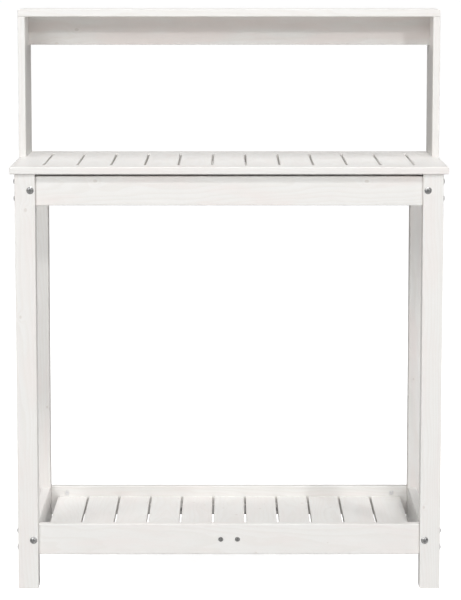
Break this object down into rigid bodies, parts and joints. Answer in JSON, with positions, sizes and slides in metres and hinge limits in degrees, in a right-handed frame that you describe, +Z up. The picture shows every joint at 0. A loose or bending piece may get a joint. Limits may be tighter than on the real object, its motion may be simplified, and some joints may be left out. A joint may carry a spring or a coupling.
{
  "type": "potting bench",
  "caption": "White painted wooden potting bench: square legs, slatted table top, slatted lower shelf set inside rails, and a narrow raised shelf with a back board along the rear edge.",
  "frame": {"origin": "on the floor under the middle of the bench: the centre of the bottom of its bounding box", "axes": "+X to the right seen from the front, +Y from the front to the rear, +Z up"},
  "size_m": [0.825, 0.4, 1.097],
  "materials": {
    "white_painted_wood": "pine under a thin satin coat of white paint, with faint grain and a few knots showing through",
    "bare_wood": "plain unpainted hardwood dowel, hidden in the joints",
    "zinc_plated_steel": "bright zinc plate on machine screws, barrel nuts and wood screws"
  },
  "bodies": {
    "root": {"back_board": "white_painted_wood", "back_board_screws": "zinc_plated_steel", "barrel_nuts": "zinc_plated_steel", "batten_end_screws": "zinc_plated_steel", "cleat_screws": "zinc_plated_steel", "frame_bolts": "zinc_plated_steel", "front_batten": "white_painted_wood", "front_cleat": "white_painted_wood", "front_left_leg": "white_painted_wood", "front_right_leg": "white_painted_wood", "left_upright": "white_painted_wood", "lower_front_rail": "white_painted_wood", "lower_left_rail": "white_painted_wood", "lower_rear_rail": "white_painted_wood", "lower_right_rail": "white_painted_wood", "lower_slat_01": "white_painted_wood", "lower_slat_02": "white_painted_wood", "lower_slat_03": "white_painted_wood", "lower_slat_04": "white_painted_wood", "lower_slat_05": "white_painted_wood", "lower_slat_06": "white_painted_wood", "lower_slat_07": "white_painted_wood", "lower_slat_08": "white_painted_wood", "lower_slat_09": "white_painted_wood", "lower_slat_10": "white_painted_wood", "lower_slat_11": "white_painted_wood", "lower_slat_screws": "zinc_plated_steel", "middle_slat_screws": "zinc_plated_steel", "raised_shelf_board": "white_painted_wood", "raised_shelf_screws": "zinc_plated_steel", "rear_batten": "white_painted_wood", "rear_cleat": "white_painted_wood", "rear_left_leg": "white_painted_wood", "rear_right_leg": "white_painted_wood", "right_upright": "white_painted_wood", "table_front_board": "white_painted_wood", "table_rear_board": "white_painted_wood", "table_slat_01": "white_painted_wood", "table_slat_02": "white_painted_wood", "table_slat_03": "white_painted_wood", "table_slat_04": "white_painted_wood", "table_slat_05": "white_painted_wood", "table_slat_06": "white_painted_wood", "table_slat_07": "white_painted_wood", "table_slat_08": "white_painted_wood", "table_slat_09": "white_painted_wood", "table_slat_10": "white_painted_wood", "table_slat_11": "white_painted_wood", "table_slat_12": "white_painted_wood", "table_slat_13": "white_painted_wood", "table_top_dowels": "bare_wood", "table_top_screws": "zinc_plated_steel", "top_front_rail": "white_painted_wood", "top_left_rail": "white_painted_wood", "top_rear_rail": "white_painted_wood", "top_right_rail": "white_painted_wood", "upright_screws": "zinc_plated_steel"}
  },
  "joints": []
}
